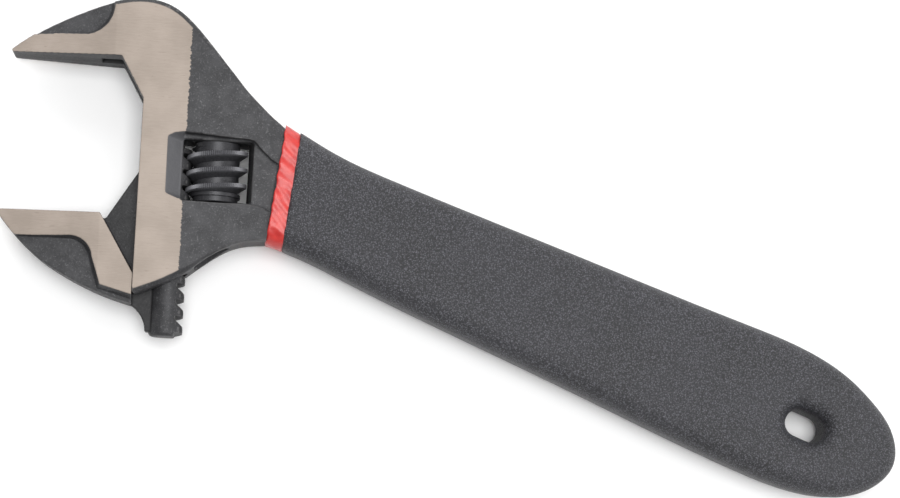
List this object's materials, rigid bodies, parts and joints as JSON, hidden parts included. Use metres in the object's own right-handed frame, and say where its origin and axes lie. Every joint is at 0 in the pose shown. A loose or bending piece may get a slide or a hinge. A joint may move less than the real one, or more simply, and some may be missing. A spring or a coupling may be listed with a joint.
{
  "type": "adjustable wrench",
  "caption": "Adjustable wrench with extra-wide tapered jaws, a knurled worm driving the sliding jaw, and a long textured dipped grip with a hanging hole.",
  "frame": {"origin": "middle of the overall box in plan, on its lowest plane, the ground lower face of the head", "axes": "+X along the jaw faces from the jaw tips towards the handle, +Y the direction in which the movable jaw closes, +Z out of the upper side face"},
  "size_m": [0.1968, 0.1004, 0.0132],
  "materials": {
    "forged_steel": "dark as-forged surface with linished warm grey side faces",
    "jaw_steel": "dark as-forged surface with linished warm grey side faces",
    "worm_steel": "blackened, knurled crests",
    "pin_steel": "turned",
    "spring_steel": "drawn wire",
    "red_coat": "glossy dipped vinyl",
    "black_coat": "matte dipped vinyl with a fine sand texture"
  },
  "bodies": {
    "frame": {"body": "forged_steel", "worm_pin": "pin_steel", "worm_spring": "spring_steel", "grip_inner": "red_coat", "grip_outer": "black_coat"},
    "jaw": {"movable_jaw": "jaw_steel"},
    "worm": {"worm": "worm_steel"}
  },
  "joints": [
    {"name": "worm_spin", "type": "hinge", "parent": "frame", "child": "worm", "pos_m": [-0.05311, 0.0137, 0.0066], "axis": [0, -1, 0], "range_deg": [-434, 3468]},
    {"name": "jaw_slide", "type": "slide", "parent": "frame", "child": "jaw", "axis": [0, 1, 0], "range_m": [-0.0042, 0.0337]}
  ],
  "couplings": [
    {"joint": "worm_spin", "follows": "jaw_slide", "rad_per_m": 1795.2}
  ]
}
